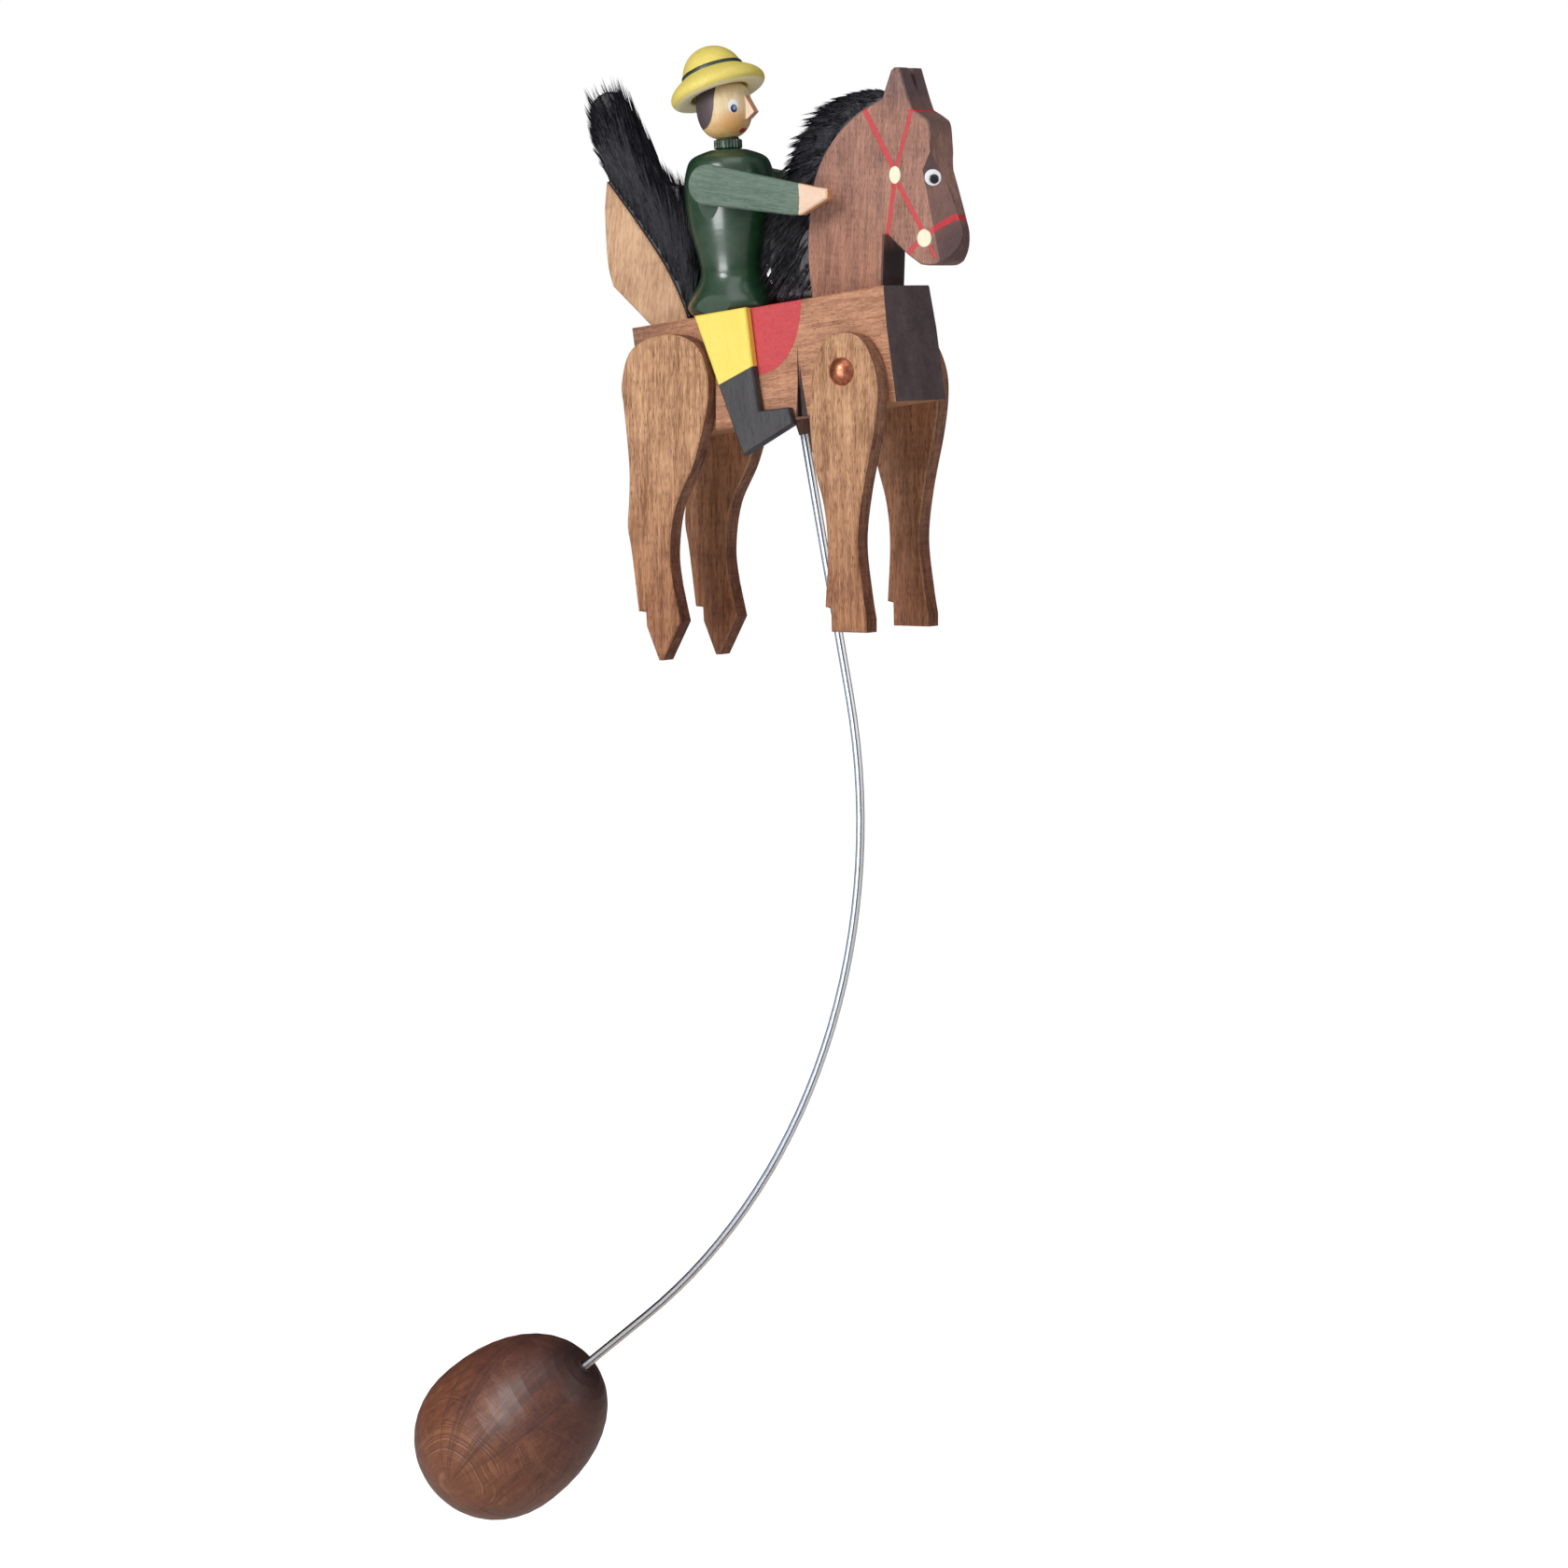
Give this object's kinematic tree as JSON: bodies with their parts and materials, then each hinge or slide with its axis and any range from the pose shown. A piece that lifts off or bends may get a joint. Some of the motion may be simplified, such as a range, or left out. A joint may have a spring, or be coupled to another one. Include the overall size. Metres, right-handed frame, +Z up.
{
  "type": "balancing rider toy",
  "caption": "Sawn and turned wooden horse and rider that rock on pointed rear hooves, balanced by an egg-shaped weight on a long bent wire, with front legs that swing on copper nails.",
  "frame": {"origin": "midway between the pointed tips of the two rear hooves, where the toy stands on its ledge", "axes": "+X forward, towards the horse's nose; +Y towards the horse's left; +Z up"},
  "size_m": [0.1501, 0.0406, 0.3581],
  "materials": {
    "stained_wood": "satin reddish brown stain, grain showing",
    "light_wood": "satin light brown stain, grain showing",
    "dark_wood": "polished dark brown stain",
    "bare_wood": "plain birch dowel",
    "green_gloss": "dark green gloss paint",
    "green_stain": "matte green stain, grain showing",
    "yellow_paint": "satin yellow paint",
    "skin_paint": "satin clear varnish over pale wood",
    "fur": "black short-haired hide",
    "spring_steel": "bright drawn wire",
    "copper_nail": "copper-plated dome head"
  },
  "bodies": {
    "horse_and_rider": {"trunk_block": "stained_wood", "neck_head": "stained_wood", "tail_board": "light_wood", "mane_hide": "fur", "mane_fur": "fur", "tail_hide": "fur", "tail_fur": "fur", "right_rear_leg": "light_wood", "left_rear_leg": "light_wood", "right_leg_nail": "copper_nail", "left_leg_nail": "copper_nail", "pendulum_wire": "spring_steel", "wire_collar": "dark_wood", "counterweight": "dark_wood", "rider_torso": "green_gloss", "rider_head": "skin_paint", "rider_nose": "skin_paint", "hat": "yellow_paint", "right_arm": "green_stain", "left_arm": "green_stain", "right_rider_leg": "yellow_paint", "left_rider_leg": "yellow_paint", "neck_dowels": "bare_wood", "tail_dowel": "bare_wood", "hip_dowel": "bare_wood", "torso_dowel": "bare_wood", "head_dowel": "bare_wood"},
    "right_leg": {"right_front_leg": "light_wood"},
    "left_leg": {"left_front_leg": "light_wood"}
  },
  "joints": [
    {"name": "right_leg_swing", "type": "hinge", "parent": "horse_and_rider", "child": "right_leg", "pos_m": [0.04999, -0.01485, 0.06849], "axis": [0, -1, 0], "range_deg": [-17, 160]},
    {"name": "left_leg_swing", "type": "hinge", "parent": "horse_and_rider", "child": "left_leg", "pos_m": [0.04999, 0.01485, 0.06849], "axis": [0, -1, 0], "range_deg": [-17, 160]}
  ]
}
